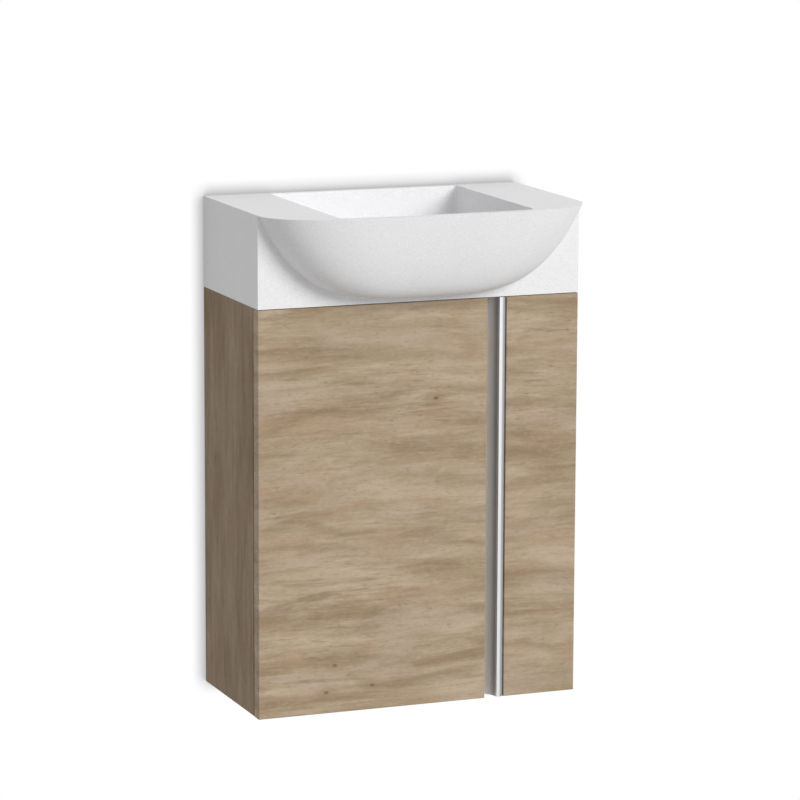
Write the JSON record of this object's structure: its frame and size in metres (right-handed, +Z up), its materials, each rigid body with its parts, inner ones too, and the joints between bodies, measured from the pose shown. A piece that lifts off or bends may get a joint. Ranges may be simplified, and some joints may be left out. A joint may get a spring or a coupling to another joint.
{
  "type": "wall-hung vanity unit",
  "caption": "Wall-hung vanity unit: cast mineral basin with a swelling bowl on a wood-decor cabinet with a hinged door, fixed front and metal handle channel.",
  "frame": {"origin": "centre of the basin's rear face on the wall, at the height of its two wall studs", "axes": "+X to the right seen from the front, +Y into the wall, +Z up"},
  "size_m": [0.45, 0.2967, 0.665],
  "materials": {
    "mineral": "satin cast mineral, white with a fine speckle",
    "oak_front": "matt oak decor, grain running across",
    "oak_carcass": "matt oak decor, grain running up",
    "aluminium": "brushed",
    "steel": "zinc-plated",
    "chrome": "polished",
    "plastic": "matt, pale grey",
    "rubber": "matt black"
  },
  "bodies": {
    "cabinet": {"basin": "mineral", "stud_left": "steel", "stud_right": "steel", "washer_left": "steel", "washer_right": "steel", "nut_left": "steel", "nut_right": "steel", "waste_body": "chrome", "waste_cap": "chrome", "waste_gasket": "rubber", "waste_nut": "plastic", "side_panel_left": "oak_carcass", "side_panel_right": "oak_carcass", "bottom_panel": "oak_carcass", "back_rail_upper": "oak_carcass", "back_rail_lower": "oak_carcass", "stile": "oak_carcass", "front_rail": "oak_carcass", "shelf": "oak_carcass", "shelf_pin_left_rear": "steel", "shelf_pin_left_front": "steel", "shelf_pin_right_rear": "steel", "shelf_pin_right_front": "steel", "handle_channel": "aluminium", "fixed_front": "oak_front", "front_bracket_upper": "steel", "front_bracket_lower": "steel", "buffer_left": "plastic", "buffer_right": "plastic", "hinge_pin_upper": "steel", "hinge_pin_lower": "steel", "hinge_arm_upper": "steel", "hinge_arm_lower": "steel", "hinge_plate_upper": "steel", "hinge_plate_lower": "steel", "hinge_screw_upper": "steel", "hinge_screw_lower": "steel", "hanger_left": "plastic", "hanger_right": "plastic", "hanger_hook_left": "steel", "hanger_hook_right": "steel", "hanger_screw_left_lower": "steel", "hanger_screw_left_upper": "steel", "hanger_screw_right_lower": "steel", "hanger_screw_right_upper": "steel", "wall_plate_left": "steel", "wall_plate_right": "steel"},
    "door": {"door": "oak_front", "hinge_cup_upper": "steel", "hinge_cup_lower": "steel"}
  },
  "joints": [
    {"name": "door_hinge", "type": "hinge", "parent": "cabinet", "child": "door", "pos_m": [-0.218, -0.2095, -0.335], "axis": [0, 0, -1], "range_deg": [0, 94]}
  ]
}
